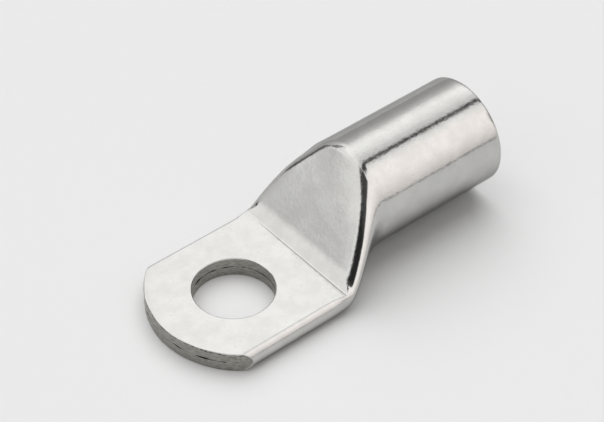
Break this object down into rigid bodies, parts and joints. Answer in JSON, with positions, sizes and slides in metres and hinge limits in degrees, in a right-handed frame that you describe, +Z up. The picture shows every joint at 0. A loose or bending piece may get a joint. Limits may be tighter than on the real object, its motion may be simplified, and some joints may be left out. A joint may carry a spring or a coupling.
{
  "type": "cable lug",
  "caption": "Crimp cable lug pressed from a length of tube: flat palm with a stud hole, sloped neck and open round barrel for a stranded cable.",
  "frame": {"origin": "centre of the stud hole on the underside of the palm", "axes": "+X along the lug from the palm to the open mouth of the barrel, +Z up out of the palm's upper face, +Y to the left seen from the mouth's side looking along +X; X-Z is the plane of symmetry"},
  "size_m": [0.0795, 0.0336, 0.025],
  "materials": {
    "tinned_copper": "electro-tinned copper, bright satin"
  },
  "bodies": {
    "root": {"cable_lug": "tinned_copper"}
  },
  "joints": []
}
